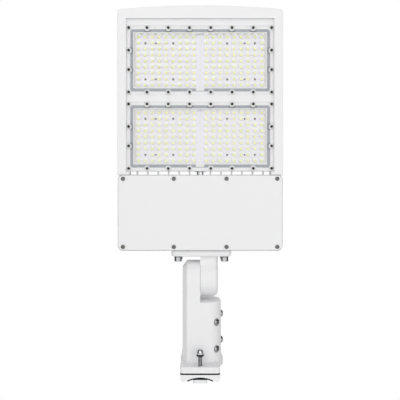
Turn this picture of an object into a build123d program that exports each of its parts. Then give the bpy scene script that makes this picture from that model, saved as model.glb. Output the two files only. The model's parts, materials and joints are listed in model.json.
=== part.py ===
from build123d import *
import os

# Pole-mounted LED area light: a finned light head that tilts on a cast slip-fitter arm.
# X runs across the light, Y away from the lit side, Z up the arm. Sizes are in millimetres.
# The origin is midway between the pole studs, in the plane of the flat lands beside the pole seat.

# Fits and clearances
thread_fit = 0.05  # radial room of a screw in its tapped hole
bolt_room = 0.5  # radial room of a bolt or stud in a plain hole
running_fit = 0.05  # radial room of the lug on the pivot bolt
plate_room = 0.75  # room round a lens plate in its recess
pick_margin = 1.0  # tolerance when an edge is chosen by its place

# Pole seat, adapter and flange
pole_r = 57.15
seat_gasket_t = 2.5
seat_gasket_w = 50.0
seat_rise = 8.5
adapter_h = 13.5
adapter_side_h = 7.5
land_outer = 36.0
flange_w = 78.0
flange_d = 132.0
flange_t = 12.0
flange_corner_r = 6.0
flange_gasket_t = 3.0
lobe_w = 87.0
lobe_d = 78.0
lobe_r = 38.0
flare_h = 28.0
flare_top_w = 62.0
flare_top_d = 64.0
flare_top_r = 28.0
wire_hole_r = 15.0

# Pole clamp
stud_r = 4.0
stud_y = 55.0
bar_w = 27.5
bar_t = 6.5
bar_end = 9.0
bar_gap = 3.0
bar_hole_r = 9.0
bar_corner_r = 3.0
nut_lift = 19.0
nut_flange_r = 7.4
nut_flange_h = 4.0
nut_flats = 13.0
nut_hex_h = 7.2
nut_dome_r = 6.4
nut_thread_h = 11.0

# Arm and tilting knuckle
arm_left = 35.6
arm_right = 42.6
arm_rise = 120.0
arm_corner_r = 28.0
step_r = 4.0
tenon_bore_r = 31.0
bore_roof = 12.0
knuckle_r = 37.0
ear_bevel_face = 12.0
ear_bevel_side = 9.0
lug_room = 7.0
ear_room = 10.0
knuckle_face_gap = 0.5
knuckle_face_x = 0.3
lug_w = 35.5
lug_edge_r = 9.0
neck_half_d = 23.0
neck_fillet_r = 8.0
friction_ring_r = 27.0
friction_ring_bore_r = 17.0
friction_ring_t = 2.0
friction_ring_room = 0.2
wireway_r = 16.0
wireway_depth = 14.0
wire_drop_r = 6.0

# Pivot bolt
pivot_r = 5.0
pivot_head_r = 8.0
pivot_head_h = 10.0
pivot_sink_r = 9.0
pivot_sink = 11.0
pivot_nut_flats = 17.0
pivot_nut_h = 8.0
pivot_nut_sink_r = 11.0
pivot_nut_sink = 12.0
pivot_washer_r = 10.0
pivot_washer_t = 2.0
pivot_end = 1.0

# Set screws of the slip fitter
set_screw_r = 4.0
set_screw_len = 12.0
set_screw_head_r = 7.0
set_screw_head_h = 4.4
set_screw_dome_r = 3.9
set_screw_socket = 5.0
set_screw_socket_h = 2.6
set_screw_seat_r = 41.0
set_screw_pocket_r = 8.0
set_screw_angle = -45.0
set_screw_low = 25.0
set_screw_pitch = 54.0
set_screw_side_rise = 11.5

# Knuckle flange under the driver box
lug_flange_w = 121.5
lug_flange_d = 64.0
lug_flange_x = 2.5
lug_flange_t = 11.0
lug_flange_corner_r = 10.0
lug_flange_edge_r = 4.0
knuckle_gasket_t = 1.2
knuckle_gasket_inset = 1.0
knuckle_bolt_r = 4.0
knuckle_bolt_x = 47.3
knuckle_bolt_y = 17.0
knuckle_bolt_len = 24.0
knuckle_head_flats = 13.0
knuckle_head_h = 9.0
knuckle_washer_r = 8.0
knuckle_washer_t = 2.0

# Light head: outline and depths
head_w = 331.5
head_front = 38.0
head_back = 38.0
outline_corner_r = 5.0
edge_r = 2.0
top_rail = 18.0
top_arch = 8.0
rail_w = 24.0
rail_depth = 26.0
leg_room = 0.8
gap_h = 7.3

# LED bays and lens plates
lens_w = 295.5
lens_h = 138.0
lens_t = 3.0
lens_corner_r = 3.0
lens_bridge = 14.9
lens_margin = 0.6
recess_margin = 14.3
recess_depth = 5.0
pocket_depth = 9.0
pocket_corner_r = 4.0
pocket_lip = 2.0
plate_t = 6.0
lens_gasket_w = 6.0
lens_gasket_t = 3.0
seal_tab_w = 16.5
seal_tab_h = 4.5
array_margin_x = 9.7
array_margin_z = 8.0
led_first_x = 12.4
led_pitch_x = 14.05
led_pitch_z = 12.14
led_cols = 9
led_rows = 9
screw_cols = (3, 7)
screw_rows = (1, 7)
dome_r = 5.4
dome_h = 4.0
dome_taper = 22.0
dome_sides = 8
led_size = 3.5
led_t = 0.7
board_t = 1.6
board_gap = 4.0
board_room = 1.0

# Screws of the LED bays
lens_screw_r = 1.5
lens_screw_len = 9.0
lens_screw_head_r = 2.6
lens_screw_head_h = 2.0
lens_screw_inset = 4.6
lens_screw_pitch = 42.6
lens_screw_pairs = 3
lens_screw_side_pitch = 39.0
lens_boss_r = 6.0
lens_boss_h = 0.8
board_screw_r = 1.5
board_screw_len = 5.0
board_screw_head_r = 2.6
board_screw_head_h = 1.8

# Fins and wire conduit
fin_t = 3.0
fin_pitch = 21.35
fin_count = 6
fin_deep_y = 30.0
fin_shallow_y = 4.0
fin_straight = 20.0
fin_end = 10.0
conduit_r = 7.0
conduit_bore_r = 5.0
conduit_seat = 8.0
conduit_boss_w = 22.0
conduit_boss_h = 34.0
conduit_boss_wall = 5.0
conduit_room = 1.0
feed_r = 4.0
link_r = 3.0

# Driver box and cover
box_h = 153.0
box_wall = 6.0
box_back_t = 4.0
box_edge_r = 10.0
box_pad = 8.0
box_pad_w = 134.0
cover_t = 3.0
cover_inset = 1.5
cover_corner_r = 9.0
cover_edge_r = 1.0
cover_gasket_t = 2.0
cover_gasket_edge = 0.5
cover_screw_r = 2.0
cover_screw_len = 14.0
cover_screw_head_r = 4.1
cover_screw_head_h = 2.6
cover_screw_dome_r = 1.5
cover_screw_inset_x = 10.05
cover_screw_inset_z = 6.9
cover_screw_x = 52.7
cover_boss_r = 6.5
cover_boss_depth = 22.0
bushing_r = 10.0
bushing_bore_r = 6.0
bushing_lip = 2.0
bushing_lip_t = 2.0

# Electrical parts inside the driver box
driver_w = 200.0
driver_h = 84.0
driver_d = 40.0
driver_corner_r = 4.0
driver_tab = 14.0
driver_tab_h = 60.0
driver_tab_t = 2.5
driver_x = 36.0
driver_lift = 12.0
driver_screw_r = 2.0
driver_screw_len = 5.5
driver_screw_head_r = 3.8
driver_screw_head_h = 2.4
driver_screw_pitch = 44.0
surge_w = 40.0
surge_h = 52.0
surge_d = 28.0
surge_corner_r = 3.0
terminal_w = 52.0
terminal_h = 20.0
terminal_d = 18.0
terminal_ways = 3
terminal_hole_r = 2.4
terminal_hole_depth = 9.0
side_parts_x = 126.0
terminal_drop = 10.0
side_parts_gap = 10.0

# Heights that follow from the sizes above
flange_z = adapter_h + flange_gasket_t
flange_top = flange_z + flange_t
step_z = flange_top + arm_rise
pivot_z = step_z + lug_room + knuckle_r
lug_flange_z = pivot_z + knuckle_r + ear_room
lug_flange_top = lug_flange_z + lug_flange_t
box_z = lug_flange_top + knuckle_gasket_t
box_top = box_z + box_h
box_mid_z = box_z + box_h / 2
led_z = box_top + gap_h
leg_z = box_top - cover_inset + leg_room
module_zs = [led_z + lens_margin + lens_h / 2 + i * (lens_h + lens_bridge) for i in range(2)]
recess_top = module_zs[1] + lens_h / 2 + recess_margin
corner_z = recess_top + top_rail
crown_z = corner_z + top_arch

# Depths that follow, from the lit side to the back
front_y = -head_front
recess_y = front_y + recess_depth
lens_y = recess_y - lens_t
boss_y = lens_y - lens_boss_h
pocket_y = recess_y + pocket_depth
board_y = pocket_y - board_t
plate_back_y = pocket_y + plate_t
cover_y = front_y + cover_t
rim_y = cover_y + cover_gasket_t
box_floor_y = head_back - box_back_t

# Widths that follow
half_w = head_w / 2
leg_x = half_w - rail_w
recess_w = lens_w + 2 * plate_room
ring_inner_w = 2 * (led_first_x + (led_cols - 1) * led_pitch_x + array_margin_x)
ring_inner_h = (led_rows - 1) * led_pitch_z + 2 * array_margin_z
pocket_w = ring_inner_w - 2 * pocket_lip
pocket_h = ring_inner_h - 2 * pocket_lip
seat_r = pole_r + seat_gasket_t
seat_axis_z = seat_rise - seat_r
ear_face_x = knuckle_face_x - knuckle_face_gap / 2
lug_face_x = knuckle_face_x + knuckle_face_gap / 2
lug_outer_x = lug_face_x + lug_w
tube_x = (arm_right - arm_left) / 2
side_seat_r = arm_right - tube_x
bushing_x = lug_face_x + wireway_depth / 2
bar_top = seat_axis_z + pole_r - bar_gap
bar_z = bar_top - bar_t
nut_z = flange_top + nut_lift
conduit_y = plate_back_y + conduit_r + conduit_room

stud_spots = [(0, -stud_y), (0, stud_y)]
knuckle_spots = [(lug_flange_x + i * knuckle_bolt_x, j * knuckle_bolt_y) for i in (-1, 1) for j in (-1, 1)]

os.makedirs("parts", exist_ok=True)


def at_depth(y):
    """Sketch plane square to Y at depth y, with X to the right and Z up, facing the lit side."""
    return Plane.XZ.offset(-y)


def at_side(x):
    """Sketch plane square to X at position x, with Y to the right and Z up."""
    return Plane.YZ.offset(x)


def save(builder, name):
    """Label the finished piece and write it to its own file."""
    builder.part.label = name
    export_step(builder.part, f"parts/{name}.step")


def lens_screw_spots(z):
    """Screw positions round the rim of the lens plate centred at height z."""
    end_x = lens_w / 2 - lens_screw_inset
    end_z = lens_h / 2 - lens_screw_inset
    inner_xs = [(i + 0.5) * lens_screw_pitch for i in range(-lens_screw_pairs, lens_screw_pairs)]
    spots = [(x, z + dz) for x in [-end_x, *inner_xs, end_x] for dz in (-end_z, end_z)]
    return spots + [(x, z + dz * lens_screw_side_pitch / 2) for x in (-end_x, end_x) for dz in (-1, 1)]


def draw_seal(z):
    """Draw the seal of the bay at height z in the open sketch: a ring, notched at the screws and tab."""
    with Locations((0, z)):
        Rectangle(ring_inner_w + 2 * lens_gasket_w, ring_inner_h + 2 * lens_gasket_w)
        Rectangle(ring_inner_w, ring_inner_h, mode=Mode.SUBTRACT)
    with Locations((0, z - (ring_inner_h + seal_tab_h) / 2)):
        Rectangle(seal_tab_w, seal_tab_h, mode=Mode.SUBTRACT)
    with Locations(*lens_screw_spots(z)):
        Circle(lens_boss_r, mode=Mode.SUBTRACT)


def grid_spots(z, side, with_screw):
    """Grid positions on one board: those that hold an LED, or those that hold a board screw."""
    spots = []
    for col in range(led_cols):
        for row in range(led_rows):
            holds_screw = col in screw_cols and row in screw_rows
            if holds_screw == with_screw:
                x = side * (led_first_x + col * led_pitch_x)
                spots.append((x, z + (row - (led_rows - 1) / 2) * led_pitch_z))
    return spots


def cover_screw_spots():
    """Positions of the screws round the driver cover."""
    end_x = half_w - cover_inset - cover_screw_inset_x
    end_z = box_h / 2 - cover_inset - cover_screw_inset_z
    return [
        (x, box_mid_z + dz) for x in (-end_x, -cover_screw_x, cover_screw_x, end_x) for dz in (-end_z, end_z)
    ]


def set_screw_plane(z, angle, r):
    """Plane square to a set screw's axis, r out from the tube's axis, at an angle from X to the back."""
    out = Vector(1, 0, 0).rotate(Axis.Z, angle)
    return Plane(origin=Vector(tube_x, 0, z) + out * r, x_dir=(0, 0, 1), z_dir=out)


all_lens_spots = [spot for z in module_zs for spot in lens_screw_spots(z)]
all_board_spots = [spot for z in module_zs for side in (-1, 1) for spot in grid_spots(z, side, True)]
driver_spots = [
    (driver_x + end * (driver_w + driver_tab) / 2, box_mid_z + driver_lift + dz * driver_screw_pitch / 2)
    for end in (-1, 1)
    for dz in (-1, 1)
]

# Housing: one casting with the arched LED plate, its rails, the back fins and the driver box.
with BuildPart() as housing:
    with BuildSketch(at_depth(front_y)):
        with BuildLine():
            Polyline(
                (-half_w, corner_z), (-half_w, leg_z), (-leg_x, leg_z), (-leg_x, led_z),
                (leg_x, led_z), (leg_x, leg_z), (half_w, leg_z), (half_w, corner_z),
            )
            ThreePointArc((half_w, corner_z), (0, crown_z), (-half_w, corner_z))
        outline = make_face()
        fillet(outline.vertices().group_by(Axis.Y)[-1], outline_corner_r)
    extrude(amount=-(plate_back_y - front_y))
    fillet(housing.faces().sort_by(Axis.Y)[0].edges(), edge_r)
    # Rails stand deeper than the plate along both sides and across the top.
    with BuildSketch(at_depth(plate_back_y)):
        add(outline)
        with Locations((0, led_z + (recess_top - led_z) / 2)):
            Rectangle(2 * leg_x, recess_top - led_z, mode=Mode.SUBTRACT)
    extrude(amount=-(front_y + rail_depth - plate_back_y))
    # Driver box, open towards the lit side.
    with BuildSketch(at_depth(rim_y)):
        with Locations((0, box_mid_z)):
            RectangleRounded(head_w, box_h, cover_corner_r + cover_inset)
    extrude(amount=-(head_back - rim_y))
    fillet(housing.faces().sort_by(Axis.Y)[-1].edges(), box_edge_r)
    with BuildSketch(at_depth(rim_y)):
        with Locations((0, box_mid_z)):
            Rectangle(head_w - 2 * box_wall, box_h - 2 * box_wall)
    extrude(amount=-(box_floor_y - rim_y), mode=Mode.SUBTRACT)
    with BuildSketch(at_depth(rim_y)):
        with Locations(*cover_screw_spots()):
            Circle(cover_boss_r)
    extrude(amount=-cover_boss_depth)
    # Pad inside the end wall that the knuckle bolts screw into.
    with BuildSketch(Plane.XY.offset(box_z + box_wall)):
        with Locations((lug_flange_x, 0)):
            Rectangle(box_pad_w, lug_flange_d)
    extrude(amount=box_pad)
    # Fins carry the LED plate across the see-through gap, with the legs of the rails.
    for i in range(fin_count):
        for side in (-1, 1):
            with BuildSketch(at_side(side * (i + 1) * fin_pitch)):
                with BuildLine():
                    Polyline(
                        (plate_back_y - plate_t / 2, box_top - box_wall / 2),
                        (fin_deep_y, box_top - box_wall / 2),
                        (fin_deep_y, led_z + fin_straight),
                        (fin_shallow_y, corner_z - fin_end),
                        (plate_back_y - plate_t / 2, corner_z - fin_end),
                        close=True,
                    )
                make_face()
            extrude(amount=fin_t / 2, both=True)
    # Boss behind the plate where the conduit ends.
    with BuildSketch(Plane.XY.offset(led_z)):
        with Locations((0, (plate_back_y + conduit_y + conduit_r + conduit_boss_wall) / 2)):
            Rectangle(conduit_boss_w, conduit_y + conduit_r + conduit_boss_wall - plate_back_y)
    extrude(amount=conduit_boss_h)
    # LED bays: a shared recess, then a seal groove and a board pocket for each module.
    with BuildSketch(at_depth(front_y)):
        with Locations((0, (led_z - edge_r + recess_top) / 2)):
            Rectangle(recess_w, recess_top - led_z + edge_r)
    extrude(amount=-recess_depth, mode=Mode.SUBTRACT)
    with BuildSketch(at_depth(recess_y)):
        for z in module_zs:
            draw_seal(z)
    extrude(amount=-lens_gasket_t, mode=Mode.SUBTRACT)
    with BuildSketch(at_depth(recess_y)):
        for z in module_zs:
            with Locations((0, z)):
                RectangleRounded(pocket_w, pocket_h, pocket_corner_r)
    extrude(amount=-pocket_depth, mode=Mode.SUBTRACT)
    # Tapped holes of the lens, board, cover and driver screws.
    with BuildSketch(at_depth(recess_y)):
        with Locations(*all_lens_spots):
            Circle(lens_screw_r + thread_fit)
    extrude(amount=-(boss_y + lens_screw_len - recess_y), mode=Mode.SUBTRACT)
    with BuildSketch(at_depth(pocket_y)):
        with Locations(*all_board_spots):
            Circle(board_screw_r + thread_fit)
    extrude(amount=-(board_screw_len - board_t), mode=Mode.SUBTRACT)
    with BuildSketch(at_depth(rim_y)):
        with Locations(*cover_screw_spots()):
            Circle(cover_screw_r + thread_fit)
    extrude(amount=-(cover_screw_len - cover_t - cover_gasket_t), mode=Mode.SUBTRACT)
    with BuildSketch(at_depth(box_floor_y)):
        with Locations(*driver_spots):
            Circle(driver_screw_r + thread_fit)
    extrude(amount=-(driver_screw_len - driver_tab_t), mode=Mode.SUBTRACT)
    # Wire way: through the end wall, the conduit and its boss into the lower bay, then the upper one.
    with BuildSketch(Plane.XY.offset(box_z)):
        with Locations((bushing_x, 0)):
            Circle(bushing_r)
        with Locations(*knuckle_spots):
            Circle(knuckle_bolt_r + thread_fit)
    extrude(amount=box_wall + box_pad, mode=Mode.SUBTRACT)
    with BuildSketch(Plane.XY.offset(box_top - box_wall)):
        with Locations((0, conduit_y)):
            Circle(conduit_r + thread_fit)
    extrude(amount=box_wall + gap_h + conduit_seat, mode=Mode.SUBTRACT)
    feed_z = module_zs[0] - pocket_h / 2 + 2 * feed_r
    with BuildSketch(Plane.XY.offset(led_z + conduit_seat)):
        with Locations((0, conduit_y)):
            Circle(feed_r)
    extrude(amount=feed_z - led_z - conduit_seat, mode=Mode.SUBTRACT)
    with BuildSketch(at_depth(pocket_y)):
        with Locations((0, feed_z)):
            Circle(feed_r)
    extrude(amount=-(conduit_y - pocket_y), mode=Mode.SUBTRACT)
    with BuildSketch(Plane.XY.offset(module_zs[0])):
        with Locations((0, pocket_y - link_r)):
            Circle(link_r)
    extrude(amount=lens_h + lens_bridge, mode=Mode.SUBTRACT)
save(housing, "housing")

# Wire conduit: a short tube from the driver box to the LED plate.
with BuildPart() as wire_conduit:
    with BuildSketch(Plane.XY.offset(box_top - box_wall)):
        with Locations((0, conduit_y)):
            Circle(conduit_r)
            Circle(conduit_bore_r, mode=Mode.SUBTRACT)
    extrude(amount=box_wall + gap_h + conduit_seat)
save(wire_conduit, "wire_conduit")

# Lens plates, their seals and their screws, one of each for every bay.
for bay, z in zip(("lower", "upper"), module_zs):
    with BuildPart() as lens_plate:
        with BuildSketch(at_depth(recess_y)):
            with Locations((0, z)):
                RectangleRounded(lens_w, lens_h, lens_corner_r)
            with Locations(*lens_screw_spots(z)):
                Circle(lens_screw_r + thread_fit, mode=Mode.SUBTRACT)
        extrude(amount=lens_t)
        with BuildSketch(at_depth(lens_y)):
            with Locations(*grid_spots(z, -1, False), *grid_spots(z, 1, False)):
                RegularPolygon(dome_r, dome_sides, rotation=180 / dome_sides)
        extrude(amount=dome_h, taper=dome_taper)
        with BuildSketch(at_depth(lens_y)):
            with Locations(*lens_screw_spots(z)):
                Circle(lens_boss_r)
            with Locations((0, z)):
                RectangleRounded(lens_w, lens_h, lens_corner_r, mode=Mode.INTERSECT)
            with Locations(*lens_screw_spots(z)):
                Circle(lens_screw_r + thread_fit, mode=Mode.SUBTRACT)
        extrude(amount=lens_boss_h)
    save(lens_plate, f"{bay}_lens_plate")

    with BuildPart() as lens_gasket:
        with BuildSketch(at_depth(recess_y)):
            draw_seal(z)
        extrude(amount=-lens_gasket_t)
    save(lens_gasket, f"{bay}_lens_gasket")

    with BuildPart() as lens_screws:
        with BuildSketch(at_depth(boss_y)):
            with Locations(*lens_screw_spots(z)):
                Circle(lens_screw_head_r)
        extrude(amount=lens_screw_head_h)
        with BuildSketch(at_depth(boss_y)):
            with Locations(*lens_screw_spots(z)):
                Circle(lens_screw_r)
        extrude(amount=-lens_screw_len)
    save(lens_screws, f"{bay}_lens_screws")

    for hand, side in (("left", -1), ("right", 1)):
        board_w = (pocket_w - board_gap) / 2 - board_room
        with BuildPart() as led_board:
            with BuildSketch(at_depth(pocket_y)):
                with Locations((side * (board_gap + board_w) / 2, z)):
                    RectangleRounded(board_w, pocket_h - 2 * board_room, pocket_corner_r)
                with Locations(*grid_spots(z, side, True)):
                    Circle(board_screw_r + thread_fit, mode=Mode.SUBTRACT)
            extrude(amount=board_t)
        save(led_board, f"{bay}_{hand}_led_board")

        with BuildPart() as leds:
            with BuildSketch(at_depth(board_y)):
                with Locations(*grid_spots(z, side, False)):
                    Rectangle(led_size, led_size)
            extrude(amount=led_t)
        save(leds, f"{bay}_{hand}_leds")

# Screws that hold the LED boards down.
with BuildPart() as board_screws:
    with BuildSketch(at_depth(board_y)):
        with Locations(*all_board_spots):
            Circle(board_screw_head_r)
    extrude(amount=board_screw_head_h)
    with BuildSketch(at_depth(board_y)):
        with Locations(*all_board_spots):
            Circle(board_screw_r)
    extrude(amount=-board_screw_len)
save(board_screws, "board_screws")

# Driver cover: a flat lid on a flat rubber gasket, held by pan-head screws.
with BuildPart() as driver_cover:
    with BuildSketch(at_depth(cover_y)):
        with Locations((0, box_mid_z)):
            RectangleRounded(head_w - 2 * cover_inset, box_h - 2 * cover_inset, cover_corner_r)
        with Locations(*cover_screw_spots()):
            Circle(cover_screw_r + thread_fit, mode=Mode.SUBTRACT)
    extrude(amount=cover_t)
    fillet(driver_cover.faces().sort_by(Axis.Y)[0].outer_wire().edges(), cover_edge_r)
save(driver_cover, "driver_cover")

with BuildPart() as driver_cover_gasket:
    gasket_inset = cover_inset - cover_gasket_edge
    with BuildSketch(at_depth(rim_y)):
        with Locations((0, box_mid_z)):
            RectangleRounded(head_w - 2 * gasket_inset, box_h - 2 * gasket_inset, cover_corner_r)
            Rectangle(head_w - 2 * box_wall, box_h - 2 * box_wall, mode=Mode.SUBTRACT)
        with Locations(*cover_screw_spots()):
            Circle(cover_boss_r)
            Circle(cover_screw_r + thread_fit, mode=Mode.SUBTRACT)
    extrude(amount=cover_gasket_t)
save(driver_cover_gasket, "driver_cover_gasket")

with BuildPart() as driver_cover_screws:
    with BuildSketch(at_depth(front_y)):
        with Locations(*cover_screw_spots()):
            Circle(cover_screw_head_r)
    extrude(amount=cover_screw_head_h)
    fillet(driver_cover_screws.faces().group_by(Axis.Y)[0].edges(), cover_screw_dome_r)
    with BuildSketch(at_depth(front_y)):
        with Locations(*cover_screw_spots()):
            Circle(cover_screw_r)
    extrude(amount=-cover_screw_len)
save(driver_cover_screws, "driver_cover_screws")

# LED driver on the floor of the box, with a drilled tab at each end for its screws.
with BuildPart() as led_driver:
    with BuildSketch(at_depth(box_floor_y)):
        with Locations((driver_x, box_mid_z + driver_lift)):
            RectangleRounded(driver_w, driver_h, driver_corner_r)
    extrude(amount=driver_d)
    fillet(led_driver.faces().sort_by(Axis.Y)[0].edges(), driver_corner_r / 2)
    with BuildSketch(at_depth(box_floor_y)):
        with Locations((driver_x, box_mid_z + driver_lift)):
            Rectangle(driver_w + 2 * driver_tab, driver_tab_h)
        with Locations(*driver_spots):
            Circle(driver_screw_r + thread_fit, mode=Mode.SUBTRACT)
    extrude(amount=driver_tab_t)
save(led_driver, "led_driver")

with BuildPart() as driver_screws:
    with BuildSketch(at_depth(box_floor_y - driver_tab_t)):
        with Locations(*driver_spots):
            Circle(driver_screw_head_r)
    extrude(amount=driver_screw_head_h)
    with BuildSketch(at_depth(box_floor_y - driver_tab_t)):
        with Locations(*driver_spots):
            Circle(driver_screw_r)
    extrude(amount=-driver_screw_len)
save(driver_screws, "driver_screws")

# Surge protector above a terminal block, both on the floor of the box beside the driver.
terminal_z = box_mid_z - terminal_drop - terminal_h
with BuildPart() as terminal_block:
    with BuildSketch(at_depth(box_floor_y)):
        with Locations((-side_parts_x, terminal_z)):
            Rectangle(terminal_w, terminal_h)
    extrude(amount=terminal_d)
    with BuildSketch(Plane.XY.offset(terminal_z - terminal_h / 2)):
        with Locations((-side_parts_x, box_floor_y - terminal_d / 2)):
            with GridLocations(terminal_w / terminal_ways, 1, terminal_ways, 1):
                Circle(terminal_hole_r)
    extrude(amount=terminal_hole_depth, mode=Mode.SUBTRACT)
save(terminal_block, "terminal_block")

with BuildPart() as surge_protector:
    with BuildSketch(at_depth(box_floor_y)):
        with Locations((-side_parts_x, terminal_z + terminal_h / 2 + side_parts_gap + surge_h / 2)):
            RectangleRounded(surge_w, surge_h, surge_corner_r)
    extrude(amount=surge_d)
    fillet(surge_protector.faces().sort_by(Axis.Y)[0].edges(), surge_corner_r / 2)
save(surge_protector, "surge_protector")

# Rubber bushing that lines the wire hole in the end wall of the box.
bushing_top = box_z + box_wall + box_pad
with BuildPart() as cable_bushing:
    with BuildSketch(Plane.XY.offset(box_z)):
        with Locations((bushing_x, 0)):
            Circle(bushing_r)
    extrude(amount=box_wall + box_pad)
    with BuildSketch(Plane.XY.offset(bushing_top)):
        with Locations((bushing_x, 0)):
            Circle(bushing_r + bushing_lip)
    extrude(amount=bushing_lip_t)
    with BuildSketch(Plane.XY.offset(box_z)):
        with Locations((bushing_x, 0)):
            Circle(bushing_bore_r)
    extrude(amount=box_wall + box_pad + bushing_lip_t, mode=Mode.SUBTRACT)
save(cable_bushing, "cable_bushing")

# Knuckle lug: the head's half of the tilting knuckle, hung from a bolted flange.
with BuildPart() as knuckle_lug:
    with BuildSketch(at_side(lug_face_x)):
        with Locations((0, pivot_z)):
            Circle(knuckle_r)
        with Locations((0, (pivot_z + lug_flange_z) / 2)):
            Rectangle(2 * neck_half_d, lug_flange_z - pivot_z)
        disc_meets_neck = vertices().group_by(Axis.Y)[-2]
        fillet(disc_meets_neck, neck_fillet_r)
    extrude(amount=lug_w)
    with BuildSketch(Plane.XY.offset(lug_flange_z)):
        with Locations((lug_flange_x, 0)):
            RectangleRounded(lug_flange_w, lug_flange_d, lug_flange_corner_r)
    extrude(amount=lug_flange_t)
    flange_rim = knuckle_lug.edges().filter_by_position(Axis.Z, lug_flange_z, lug_flange_z)
    clear_of_neck = flange_rim.filter_by(
        lambda e: abs(e.center().Y) > neck_half_d + pick_margin or e.center().X < lug_face_x - pick_margin
    )
    fillet(clear_of_neck, lug_flange_edge_r)
    outer_face = knuckle_lug.faces().filter_by(Plane.YZ).filter_by_position(Axis.X, lug_outer_x, lug_outer_x)
    fillet(outer_face.edges().filter_by(lambda e: e.center().Z < lug_flange_z - pick_margin), lug_edge_r)
    # Friction ring pocket, wire way and pivot hole, sunk from the mating face.
    with BuildSketch(at_side(lug_face_x)):
        with Locations((0, pivot_z)):
            Circle(friction_ring_r + friction_ring_room)
    extrude(amount=(friction_ring_t - knuckle_face_gap) / 2 + thread_fit, mode=Mode.SUBTRACT)
    with BuildSketch(at_side(lug_face_x)):
        with Locations((0, pivot_z)):
            Circle(wireway_r)
    extrude(amount=wireway_depth, mode=Mode.SUBTRACT)
    with BuildSketch(at_side(lug_face_x)):
        with Locations((0, pivot_z)):
            Circle(pivot_r + running_fit)
    extrude(amount=lug_w, mode=Mode.SUBTRACT)
    with BuildSketch(at_side(lug_outer_x)):
        with Locations((0, pivot_z)):
            Circle(pivot_nut_sink_r)
    extrude(amount=-pivot_nut_sink, mode=Mode.SUBTRACT)
    with BuildSketch(Plane.XY.offset(pivot_z)):
        with Locations((bushing_x, 0)):
            Circle(wire_drop_r)
    extrude(amount=lug_flange_top - pivot_z, mode=Mode.SUBTRACT)
    with BuildSketch(Plane.XY.offset(lug_flange_z)):
        with Locations(*knuckle_spots):
            Circle(knuckle_bolt_r + bolt_room)
    extrude(amount=lug_flange_t, mode=Mode.SUBTRACT)
save(knuckle_lug, "knuckle_lug")

with BuildPart() as knuckle_gasket:
    with BuildSketch(Plane.XY.offset(lug_flange_top)):
        with Locations((lug_flange_x, 0)):
            RectangleRounded(lug_flange_w, lug_flange_d, lug_flange_corner_r)
        offset(amount=-knuckle_gasket_inset, mode=Mode.REPLACE)
        with Locations(*knuckle_spots):
            Circle(knuckle_bolt_r + bolt_room, mode=Mode.SUBTRACT)
        with Locations((bushing_x, 0)):
            Circle(wire_drop_r, mode=Mode.SUBTRACT)
    extrude(amount=knuckle_gasket_t)
save(knuckle_gasket, "knuckle_gasket")

# Hex bolts and washers under the knuckle flange.
washer_z = lug_flange_z - knuckle_washer_t
with BuildPart() as knuckle_washers:
    with BuildSketch(Plane.XY.offset(washer_z)):
        with Locations(*knuckle_spots):
            Circle(knuckle_washer_r)
            Circle(knuckle_bolt_r + thread_fit, mode=Mode.SUBTRACT)
    extrude(amount=knuckle_washer_t)
save(knuckle_washers, "knuckle_washers")

with BuildPart() as knuckle_bolts:
    with BuildSketch(Plane.XY.offset(washer_z)):
        with Locations(*knuckle_spots):
            RegularPolygon(knuckle_head_flats / 2, 6, major_radius=False)
    extrude(amount=-knuckle_head_h)
    with BuildSketch(Plane.XY.offset(washer_z)):
        with Locations(*knuckle_spots):
            Circle(knuckle_bolt_r)
    extrude(amount=knuckle_bolt_len)
save(knuckle_bolts, "knuckle_bolts")

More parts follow.
